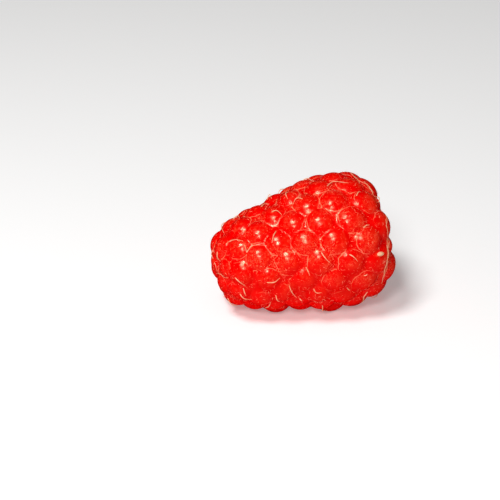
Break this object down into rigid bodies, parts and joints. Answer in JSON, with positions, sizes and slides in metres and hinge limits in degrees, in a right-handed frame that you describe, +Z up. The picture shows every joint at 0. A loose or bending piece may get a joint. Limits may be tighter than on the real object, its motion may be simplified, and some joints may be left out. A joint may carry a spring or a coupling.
{
  "type": "raspberry",
  "caption": "Ripe picked raspberry lying on its side: blunt cone of fused round drupelets with dried styles, open at the wide end where the core came away.",
  "frame": {"origin": "middle of the fruit's bounding box, on the surface that it lies on", "axes": "+X from the blunt tip towards the open base, +Z up; the base end is raised 9 degrees, as the fruit lies"},
  "size_m": [0.0252, 0.0188, 0.0187],
  "materials": {
    "skin": "moist satin fruit skin, translucent red",
    "style": "dry straw-coloured styles",
    "down": "fine pale hairs"
  },
  "bodies": {
    "root": {"berry": "skin"}
  },
  "joints": []
}
